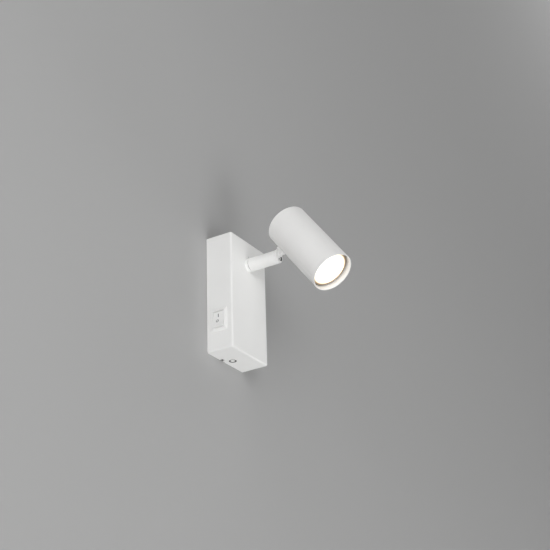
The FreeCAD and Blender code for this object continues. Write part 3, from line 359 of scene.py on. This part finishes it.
@dataclass(frozen=True)
class PlatedMetal:
    """Plated or plain metal: rolled streaks along one axis over the blotches of the plating."""

    name: str
    tone: Colour
    rough: tuple[float, float] = (0.28, 0.46)
    blotch: float = 0.004
    blotch_shade: float = 0.88
    rolling: float = 0.006
    rolling_squash: Triple = (1.0, 1.0, 18.0)
    rolling_depth: float = 0.000004

    def build(self) -> bpy.types.Material:
        """Make the metal's material.

        Returns:
            The material.
        """
        sheet = NodeSheet(self.name)
        sheet.mottle(sheet.cells(self.blotch), shade(self.tone, self.blotch_shade), self.tone, (0.2, 0.8))
        rolled = sheet.noise(self.rolling, detail=4.0, squash=self.rolling_squash)
        sheet.wear(rolled, self.rough)
        sheet.relief(rolled, self.rolling_depth)
        sheet.set(Metallic=1.0)
        return sheet.material


@dataclass(frozen=True)
class GlintShadeScrew:
    """Screw with a painted highlight in its pale middle and painted shade in the near-black ring round it,
    which begins at a share of its radius.
    """

    name: str
    point: Triple
    direction: Triple
    radius: float
    ring: tuple[float, float]
    glint_tone: Colour = (0.95, 0.95, 0.93)
    ring_shade_tone: Colour = (0.035, 0.033, 0.032)
    rough: tuple[float, float] = (0.35, 0.55)
    scuff: float = 0.0005
    scuff_depth: float = 0.000008

    def build(self) -> bpy.types.Material:
        """Make the screw's material.

        Returns:
            The material.
        """
        sheet = NodeSheet(self.name)
        away = sheet.off_axis(self.point, self.direction, self.radius)
        # Painted highlight in the middle, painted shade in the ring, by distance from the screw's axis.
        sheet.mottle(away, self.glint_tone, self.ring_shade_tone, self.ring)
        scuffs = sheet.noise(self.scuff, detail=3.0)
        sheet.wear(scuffs, self.rough)
        sheet.relief(scuffs, self.scuff_depth)
        return sheet.material


@dataclass(frozen=True)
class PressedFibre:
    """Dark fibre of a washer, dull and slightly flecked."""

    name: str
    tone: Colour
    rough: tuple[float, float] = (0.75, 0.95)
    fleck: float = 0.0004
    fleck_shade: float = 1.6
    fleck_depth: float = 0.00003

    def build(self) -> bpy.types.Material:
        """Make the fibre's material.

        Returns:
            The material.
        """
        sheet = NodeSheet(self.name)
        flecks = sheet.noise(self.fleck, detail=4.0)
        sheet.mottle(flecks, self.tone, shade(self.tone, self.fleck_shade), (0.35, 0.75))
        sheet.wear(flecks, self.rough)
        sheet.relief(flecks, self.fleck_depth)
        return sheet.material


@dataclass(frozen=True)
class FiredCeramic:
    """Unglazed ceramic with fine pits and a slightly warm body."""

    name: str
    tone: Colour
    rough: tuple[float, float] = (0.55, 0.8)
    body: float = 0.003
    body_shade: float = 0.93
    pit: float = 0.0006
    pit_depth: float = 0.00003

    def build(self) -> bpy.types.Material:
        """Make the ceramic's material.

        Returns:
            The material.
        """
        sheet = NodeSheet(self.name)
        sheet.mottle(sheet.noise(self.body, detail=4.0), shade(self.tone, self.body_shade), self.tone)
        pits = sheet.noise(self.pit, detail=5.0)
        sheet.wear(pits, self.rough)
        sheet.relief(pits, self.pit_depth)
        return sheet.material


@dataclass(frozen=True)
class LitFront:
    """Frosted front of the lit lamp: white in the middle, cream round it and nearly unlit at its edge, where
    its dim brown glow and brown base colour are painted shade of the gap between the lamp and the tube.

    The places even, lit and unlit are shares of its radius.
    """

    name: str
    point: Triple
    direction: Triple
    radius: float
    core: Colour = (1.0, 0.97, 0.92)
    cream: Colour = (0.66, 0.58, 0.44)
    warm: Colour = (0.36, 0.28, 0.18)
    rim: Colour = (0.05, 0.034, 0.021)
    even: float = 0.7
    lit: float = 0.92
    unlit: float = 1.0
    strength: float = 1.8
    frosted: Colour = (0.36, 0.34, 0.31)
    edge_shade_tone: Colour = (0.40, 0.30, 0.20)
    rough: tuple[float, float] = (0.42, 0.55)
    frost: float = 0.0005
    frost_depth: float = 0.00001

    def build(self) -> bpy.types.Material:
        """Make the lamp front's material.

        Returns:
            The material.
        """
        sheet = NodeSheet(self.name)
        away = sheet.off_axis(self.point, self.direction, self.radius)
        between = (self.lit + self.unlit) / 2.0
        # Painted shade: the glow dims through warm brown to near black at the edge, for the shade between the
        # lamp and the tube's wall.
        glow = sheet.ramp(away, [(self.even, self.core), (self.lit, self.cream), (between, self.warm),
                                 (self.unlit, self.rim)])
        sheet.join(glow, "Emission Color")
        sheet.set(Emission_Strength=self.strength)
        # Painted shade: the base colour turns brown towards the edge, for the same shaded gap.
        sheet.mottle(away, self.frosted, self.edge_shade_tone, (self.lit, self.unlit))
        frost = sheet.noise(self.frost, detail=2.0)
        sheet.wear(frost, self.rough)
        sheet.relief(frost, self.frost_depth)
        return sheet.material


@dataclass(frozen=True)
class PrintedInk:
    """Ink of a thin printed mark, slightly worn."""

    name: str
    tone: Colour
    rough: tuple[float, float] = (0.45, 0.6)
    worn: float = 0.0006
    worn_shade: float = 1.3

    def build(self) -> bpy.types.Material:
        """Make the ink's material.

        Returns:
            The material.
        """
        sheet = NodeSheet(self.name)
        worn = sheet.noise(self.worn, detail=3.0)
        sheet.mottle(worn, self.tone, shade(self.tone, self.worn_shade), (0.3, 0.8))
        sheet.wear(worn, self.rough)
        return sheet.material


@dataclass(frozen=True)
class SetPaint:
    """Matt paint of the set: it only shows from its front and never shades the lamp."""

    name: str
    tone: Colour
    mottling: float = 0.6
    mottling_shade: float = 0.99
    roughness: float = 0.9
    specular: float = 0.1

    def build(self) -> bpy.types.Material:
        """Make the paint's material.

        Returns:
            The material.
        """
        sheet = NodeSheet(self.name)
        mottling = sheet.noise(self.mottling, detail=2.0)
        sheet.mottle(mottling, shade(self.tone, self.mottling_shade), self.tone)
        sheet.set(Roughness=self.roughness, Specular_IOR_Level=self.specular)
        clear = sheet.nodes.new("ShaderNodeBsdfTransparent")
        back = sheet.nodes.new("ShaderNodeNewGeometry").outputs["Backfacing"]
        shadow = sheet.nodes.new("ShaderNodeLightPath").outputs["Is Shadow Ray"]
        either = sheet.nodes.new("ShaderNodeMath")
        either.operation = "MAXIMUM"
        sheet.links.new(back, either.inputs[0])
        sheet.links.new(shadow, either.inputs[1])
        mix = sheet.nodes.new("ShaderNodeMixShader")
        sheet.links.new(either.outputs["Value"], mix.inputs["Fac"])
        sheet.links.new(sheet.shader.outputs["BSDF"], mix.inputs[1])
        sheet.links.new(clear.outputs["BSDF"], mix.inputs[2])
        sheet.links.new(mix.outputs["Shader"], sheet.nodes["Material Output"].inputs["Surface"])
        return sheet.material


WHITE_COAT = PowderCoat("white_coat", (0.86, 0.86, 0.85))
HEAD_COAT = PowderCoat("head_coat", (0.86, 0.855, 0.845))
ZINC = PlatedMetal("zinc_plate", (0.62, 0.63, 0.65))
BRASS = PlatedMetal("plain_brass", (0.75, 0.56, 0.27), rough=(0.25, 0.4))
NYLON = MouldedPlastic("block_nylon", (0.80, 0.80, 0.77), Sheen.SATIN, milky=0.15)


# ---------------------------------------------------------------- modelling tools
def nothing_selected() -> None:
    """Leave edit mode and deselect every object."""
    if bpy.context.object is not None and bpy.context.object.mode != "OBJECT":
        bpy.ops.object.mode_set(mode="OBJECT")
    bpy.ops.object.select_all(action="DESELECT")


def settle(piece: bpy.types.Object, name: str) -> bpy.types.Object:
    """Name a piece, move its place into its mesh and leave its object at the origin.

    Args:
        piece: The object, in its place.
        name: Its name in the finished lamp.

    Returns:
        The same object.
    """
    nothing_selected()
    piece.select_set(True)
    bpy.context.view_layer.objects.active = piece
    bpy.ops.object.transform_apply(location=True, rotation=True, scale=True)
    piece.name = name
    piece.data.name = name
    return piece


def fit_bevel(piece: bpy.types.Object, width: float, steps: int = 3) -> None:
    """Round all sharp edges of a piece by an applied bevel.

    Args:
        piece: The piece.
        width: Width of the rounding, in metres.
        steps: Faces across it.
    """
    bevel = piece.modifiers.new("Rounding", "BEVEL")
    bevel.width = width
    bevel.segments = steps
    bevel.limit_method = "ANGLE"
    bpy.context.view_layer.objects.active = piece
    bpy.ops.object.modifier_apply(modifier=bevel.name)


@dataclass
class Assembly:
    """A sub-assembly: which fixed pieces wear which finish."""

    made: ClassVar[dict[Finish, bpy.types.Material]] = {}

    frame: dict
    coats: dict[str, Finish] = field(default_factory=dict)

    def dress(self) -> None:
        """Give every fixed piece of this sub-assembly its material, made once for each finish."""
        for node, finish in self.coats.items():
            if finish not in self.made:
                self.made[finish] = finish.build()
            mesh = self.frame["nodes"][node].data
            mesh.materials.clear()
            mesh.materials.append(self.made[finish])
            LOG.info("%s wears %s", node, finish.name)

    def pivot(self, name: str) -> Vector:
        """A point on the axis of the frame's joint with this name."""
        return Vector(next(joint["pos_m"] for joint in self.frame["joints"] if joint["name"] == name))


# ---------------------------------------------------------------- sub-assemblies
@dataclass
class WallBase(Assembly):
    """Bracket, terminals and housing: everything that stays on the wall."""

    coats: dict[str, Finish] = field(default_factory=lambda: {
        "wall_bracket": ZINC,
        "bracket_inserts": ZINC,
        "terminal_block": NYLON,
        "terminal_sleeves": BRASS,
        "terminal_screws": ZINC,
        "block_screw": ZINC,
        "clamp_screws": ZINC,
        "earth_terminal": BRASS,
        # Painted shade: the clamp is near black so the housing's notch, through which it shows, reads as
        # shaded inside.
        "cable_clamp": MouldedPlastic("clamp_shade_black", (0.03, 0.03, 0.032)),
        "swivel_collar": WHITE_COAT,
        "friction_washer": PressedFibre("washer_fibre", (0.10, 0.10, 0.10)),
        "thrust_washer": ZINC,
        "stop_pin": ZINC,
    })
    # Painted shade: radius and near-black tone of the patch that stands for the shadow in the cover screws'
    # dimples.
    shade_patch_radius: float = 0.005
    dimple_shade_tone: Colour = (0.075, 0.075, 0.077)
    screw_ring: tuple[float, float] = (0.80, 0.92)

    def paint_dimple_shade(self) -> None:
        """Finish the cover screws with their painted highlight and shade ring, and paint shade into the
        housing's dimples round them.
        """
        low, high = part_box("cover_screws")
        centre, upright = tuple((low + high) / 2.0), (0.0, 0.0, 1.0)
        self.coats["cover_screws"] = GlintShadeScrew("cover_screw_face", centre, upright,
                                                 (high.x - low.x) / 2.0, self.screw_ring)
        self.coats["housing_cover"] = ShadePatchCoat("housing_coat", WHITE_COAT.tone, point=centre,
                                                 direction=upright, radius=self.shade_patch_radius,
                                                 shade_patch_tone=self.dimple_shade_tone)


@dataclass
class RockerSwitch(Assembly):
    """Snap-in rocker switch with its printed on and off marks.

    Snap-in rocker switch with its printed on and off marks; the off ring sits against the crease, so its ink
    is also painted shade of the rocker's valley.
    crease's X and Z from the pivot. The slope of the face's lower half is in degrees.
    """

    coats: dict[str, Finish] = field(default_factory=lambda: {
        "switch_body": MouldedPlastic("switch_frame", (0.88, 0.88, 0.87), Sheen.SATIN),
        "switch_terminals": BRASS,
        "rocker": MouldedPlastic("switch_rocker", (0.88, 0.88, 0.87), Sheen.SATIN),
    })
    on_long: float = 0.0046
    on_wide: float = 0.0011
    on_place: tuple[float, float] = (0.0006, 0.0053)
    off_radius: float = 0.0016
    off_stroke: float = 0.0004
    # Print and painted shade: the off ring sits against the crease, where its ink also stands for the shade
    # in the rocker's valley.
    off_mark_at_crease_place: tuple[float, float] = (0.0018, -0.0022)
    mark_proud: float = 0.00008
    mark_rounding: float = 0.000064
    mark_tone: Colour = (0.03, 0.03, 0.034)
    crease: tuple[float, float] = (-0.002978, 0.000366)
    slope: float = 14.0

    def on_face(self, side: float, rise: float) -> tuple[Vector, float]:
        """Point of the rocker's hollow face, whose upper half is pressed flush.

        Args:
            side: Distance from the rocker's middle, towards the wall.
            rise: Distance from the crease along the face, negative on the lower half.

        Returns:
            The point, and the turn about Y that lays a flat mark on the face there.
        """
        lean = math.radians(self.slope) if rise < 0.0 else 0.0
        out = self.crease[0] + rise * math.sin(lean)
        up = self.crease[1] + rise * math.cos(lean)
        return self.pivot("rocker_switch") + Vector((out, side, up)), lean - math.pi / 2.0

    def model_marks(self) -> None:
        """Model the on bar and the off ring as thin printed marks that turn with the rocker; the off ring,
        against the crease, also paints the valley's shade.
        """
        ink = PrintedInk("mark_ink", self.mark_tone).build()
        nothing_selected()
        place, turn = self.on_face(*self.on_place)
        bpy.ops.mesh.primitive_cube_add(size=1.0, location=place, rotation=(0.0, turn, 0.0))
        bar = bpy.context.object
        bar.scale = (self.on_long, self.on_wide, 2.0 * self.mark_proud)
        settle(bar, "rocker_on_mark")
        fit_bevel(bar, self.mark_rounding)
        nothing_selected()
        place, turn = self.on_face(*self.off_mark_at_crease_place)
        bpy.ops.mesh.primitive_torus_add(location=place, rotation=(0.0, turn, 0.0), major_segments=48,
                                         minor_segments=12, major_radius=self.off_radius,
                                         minor_radius=self.off_stroke)
        ring = bpy.context.object
        ring.scale = (1.0, 1.0, self.mark_proud / self.off_stroke)
        settle(ring, "rocker_off_mark_and_crease_shade")
        for mark in (bar, ring):
            mark.data.materials.append(ink)
            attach(mark, "rocker")
            LOG.info("%s wears %s", mark.name, ink.name)


@dataclass
class SwingArm(Assembly):
    """Arm with its swivel parts and the screws of the tilt joint."""

    coats: dict[str, Finish] = field(default_factory=lambda: {
        "swivel_nipple": ZINC,
        "stop_disc": ZINC,
        "spring_washer": ZINC,
        "nipple_nut": ZINC,
        "pivot_screw": WHITE_COAT,
    })
    # Painted shade: radius of the near-black patch on the arm, for the shadow in the locking screw's recess.
    shade_patch_radius: float = 0.0033
    screw_ring: tuple[float, float] = (0.60, 0.72)

    def ring_screw(self) -> None:
        """Give the locking screw its painted highlight and shade ring, and the arm a patch of painted shade
        in the screw's recess, round the screw's axis.
        """
        low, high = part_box("locking_screw")
        centre, along = tuple((low + high) / 2.0), (0.0, 1.0, 0.0)
        self.coats["locking_screw"] = GlintShadeScrew("locking_screw_face", centre, along,
                                                  (high.x - low.x) / 2.0, self.screw_ring)
        self.coats["arm"] = ShadePatchCoat("arm_coat", WHITE_COAT.tone, point=centre, direction=along,
                                       radius=self.shade_patch_radius)


@dataclass
class SpotHead(Assembly):
    """Tube with its tongue, holder and the lit lamp."""

    coats: dict[str, Finish] = field(default_factory=lambda: {
        "head_tongue": WHITE_COAT,
        "head_shade": HEAD_COAT,
        "holder_bracket": ZINC,
        "head_screws": ZINC,
        "holder_screws": ZINC,
        "lampholder": FiredCeramic("holder_ceramic", (0.86, 0.84, 0.79)),
        "holder_contacts": BRASS,
        # Painted shade: the lamp's shell is brown for the shaded gap between the lamp's edge and the tube's
        # wall.
        "lamp_body": MouldedPlastic("lamp_shell", (0.40, 0.30, 0.20), Sheen.SATIN),
        "lamp_pins": ZINC,
    })

    def light_front(self) -> None:
        """Make the lamp's front glow, centred on the tube's axis."""
        low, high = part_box("lamp_lens")
        rear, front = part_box("lampholder")
        centre = (low + high) / 2.0
        axis = (centre - (rear + front) / 2.0).normalized()
        self.coats["lamp_lens"] = LitFront("lit_lamp_front", tuple(centre), tuple(axis),
                                           (high.x - low.x) / 2.0)


# ---------------------------------------------------------------- studio
def bearing(azimuth: float, elevation: float) -> Vector:
    """Unit vector out into the room.

    Args:
        azimuth: Degrees from straight in front of the wall, negative to the left.
        elevation: Degrees above the horizon.

    Returns:
        The vector.
    """
    turn, rise = math.radians(azimuth), math.radians(elevation)
    return Vector((math.sin(turn) * math.cos(rise), -math.cos(turn) * math.cos(rise), math.sin(rise)))


@dataclass(frozen=True)
class Lamp:
    """A soft square studio light that looks at the reading lamp from its bearing, in degrees."""

    name: str
    azimuth: float
    elevation: float
    watts: float
    side: float = 1.3
    distance: float = 2.5
    target: Triple = (0.0, -0.08, 0.0)

    def build(self) -> None:
        """Add the light to the scene."""
        place = self.distance * bearing(self.azimuth, self.elevation)
        data = bpy.data.lights.new(self.name, "AREA")
        data.size = self.side
        data.energy = self.watts
        light = bpy.data.objects.new(self.name, data)
        bpy.context.scene.collection.objects.link(light)
        light.location = place
        light.rotation_euler = (Vector(self.target) - place).to_track_quat("-Z", "Y").to_euler()


@dataclass(frozen=True)
class Viewpoint:
    """The photograph's camera, as solved from the housing's corners, with its bearing and roll in degrees."""

    azimuth: float = -58.354
    elevation: float = -25.833
    roll: float = -1.752
    place: Triple = (-1.46573, -0.98053, -0.81164)
    focal_pixels: float = 1510.56
    frame_pixels: float = 550.0
    sensor: float = 36.0

    def build(self) -> None:
        """Add the camera and make it the scene's own."""
        back = bearing(self.azimuth, self.elevation)
        right = (-back).cross(Vector((0.0, 0.0, 1.0))).normalized()
        up = back.cross(right)
        turn = Matrix((right, up, back)).transposed() @ Matrix.Rotation(math.radians(self.roll), 3, "Z")
        data = bpy.data.cameras.new("photo_camera")
        data.sensor_width = self.sensor
        data.lens = self.focal_pixels / self.frame_pixels * self.sensor
        camera = bpy.data.objects.new("photo_camera", data)
        camera.matrix_world = Matrix.Translation(Vector(self.place)) @ turn.to_4x4()
        bpy.context.scene.collection.objects.link(camera)
        bpy.context.scene.camera = camera


@dataclass
class Studio:
    """Grey wall behind the lamp, pale floor below it, soft lights and the camera."""

    wall_tone: Colour = (0.445, 0.445, 0.445)
    floor_tone: Colour = (0.80, 0.80, 0.79)
    sky_tone: Colour = (0.90, 0.90, 0.90)
    sky_strength: float = 0.02
    sky_mirrored: float = 0.45
    wall_gap: float = 0.0004
    floor_drop: float = 1.5
    floor_seen: float = 0.65
    floor_lent: float = 0.10
    half_room: float = 4.0
    lamps: tuple[Lamp, ...] = (
        Lamp("softbox_left_low", -75.0, -35.0, 9.2),
        Lamp("softbox_left", -75.0, 5.0, 14.6),
        Lamp("softbox_front_left", -40.0, 5.0, 17.2),
        Lamp("softbox_front_left_high", -40.0, 45.0, 7.0),
        Lamp("softbox_front_low", -5.0, -35.0, 19.6),
        Lamp("softbox_right_low", 70.0, -35.0, 15.0),
        Lamp("softbox_right_high", 70.0, 45.0, 10.0),
        Lamp("softbox_behind", 180.0, 15.0, 14.0),
    )

    def panel(self, name: str, tone: Colour, turn: Triple, place: Triple) -> bpy.types.Object:
        """A large flat panel of the set.

        Args:
            name: Its name.
            tone: Its colour.
            turn: Its turn, as Euler angles in degrees.
            place: Its centre.

        Returns:
            The panel, marked as part of the stage.
        """
        nothing_selected()
        bpy.ops.mesh.primitive_plane_add(size=2.0 * self.half_room, location=place,
                                         rotation=[math.radians(angle) for angle in turn])
        panel = bpy.context.object
        settle(panel, name)
        panel.data.materials.append(SetPaint(name + "_paint", tone).build())
        return panel

    def brighten(self, paint: bpy.types.Material) -> None:
        """Keep the floor pale to the eye, while it lends the lamp only a little light.

        Args:
            paint: The floor's paint.
        """
        nodes, links = paint.node_tree.nodes, paint.node_tree.links
        shader = nodes["Principled BSDF"]
        shader.inputs["Emission Color"].default_value = (*self.floor_tone, 1.0)
        level = nodes.new("ShaderNodeMapRange")
        level.inputs["To Min"].default_value = self.floor_lent
        level.inputs["To Max"].default_value = self.floor_seen
        links.new(nodes.new("ShaderNodeLightPath").outputs["Is Camera Ray"], level.inputs["Value"])
        links.new(level.outputs["Result"], shader.inputs["Emission Strength"])

    def sky(self) -> None:
        """Faint even light, seen as a pale background by the eye and partly by shiny metal."""
        world = bpy.data.worlds.new("studio_sky")
        bpy.context.scene.world = world
        world.use_nodes = True
        nodes, links = world.node_tree.nodes, world.node_tree.links
        output = nodes["World Output"]
        light = nodes["Background"]
        light.inputs["Color"].default_value = (1.0, 1.0, 1.0, 1.0)
        light.inputs["Strength"].default_value = self.sky_strength
        seen = nodes.new("ShaderNodeBackground")
        seen.inputs["Color"].default_value = (*self.sky_tone, 1.0)
        path = nodes.new("ShaderNodeLightPath")
        mirrored = nodes.new("ShaderNodeMath")
        mirrored.operation = "MULTIPLY_ADD"
        mirrored.inputs[1].default_value = self.sky_mirrored
        links.new(path.outputs["Is Glossy Ray"], mirrored.inputs[0])
        links.new(path.outputs["Is Camera Ray"], mirrored.inputs[2])
        mix = nodes.new("ShaderNodeMixShader")
        links.new(mirrored.outputs["Value"], mix.inputs["Fac"])
        links.new(light.outputs["Background"], mix.inputs[1])
        links.new(seen.outputs["Background"], mix.inputs[2])
        links.new(mix.outputs["Shader"], output.inputs["Surface"])

    def build(self) -> None:
        """Set up the panels, the lights, the sky and the camera."""
        wall_place = (0.0, self.wall_gap, self.half_room - self.floor_drop)
        floor_place = (0.0, self.wall_gap - self.half_room, -self.floor_drop)
        self.panel("studio_wall", self.wall_tone, (90.0, 0.0, 0.0), wall_place)
        floor = self.panel("studio_floor", self.floor_tone, (0.0, 0.0, 0.0), floor_place)
        self.brighten(floor.data.materials[0])
        for lamp in self.lamps:
            lamp.build()
        self.sky()
        Viewpoint().build()
        bpy.context.scene.view_settings.view_transform = "Standard"


def main() -> None:
    """Build the looks of the lamp and the set round it."""
    logging.basicConfig(level=logging.INFO, format="%(name)s: %(message)s")
    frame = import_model()
    base = WallBase(frame)
    base.paint_dimple_shade()
    base.dress()
    switch = RockerSwitch(frame)
    switch.dress()
    switch.model_marks()
    arm = SwingArm(frame)
    arm.ring_screw()
    arm.dress()
    head = SpotHead(frame)
    head.light_front()
    head.dress()
    Studio().build()


if __name__ == "__main__":
    main()
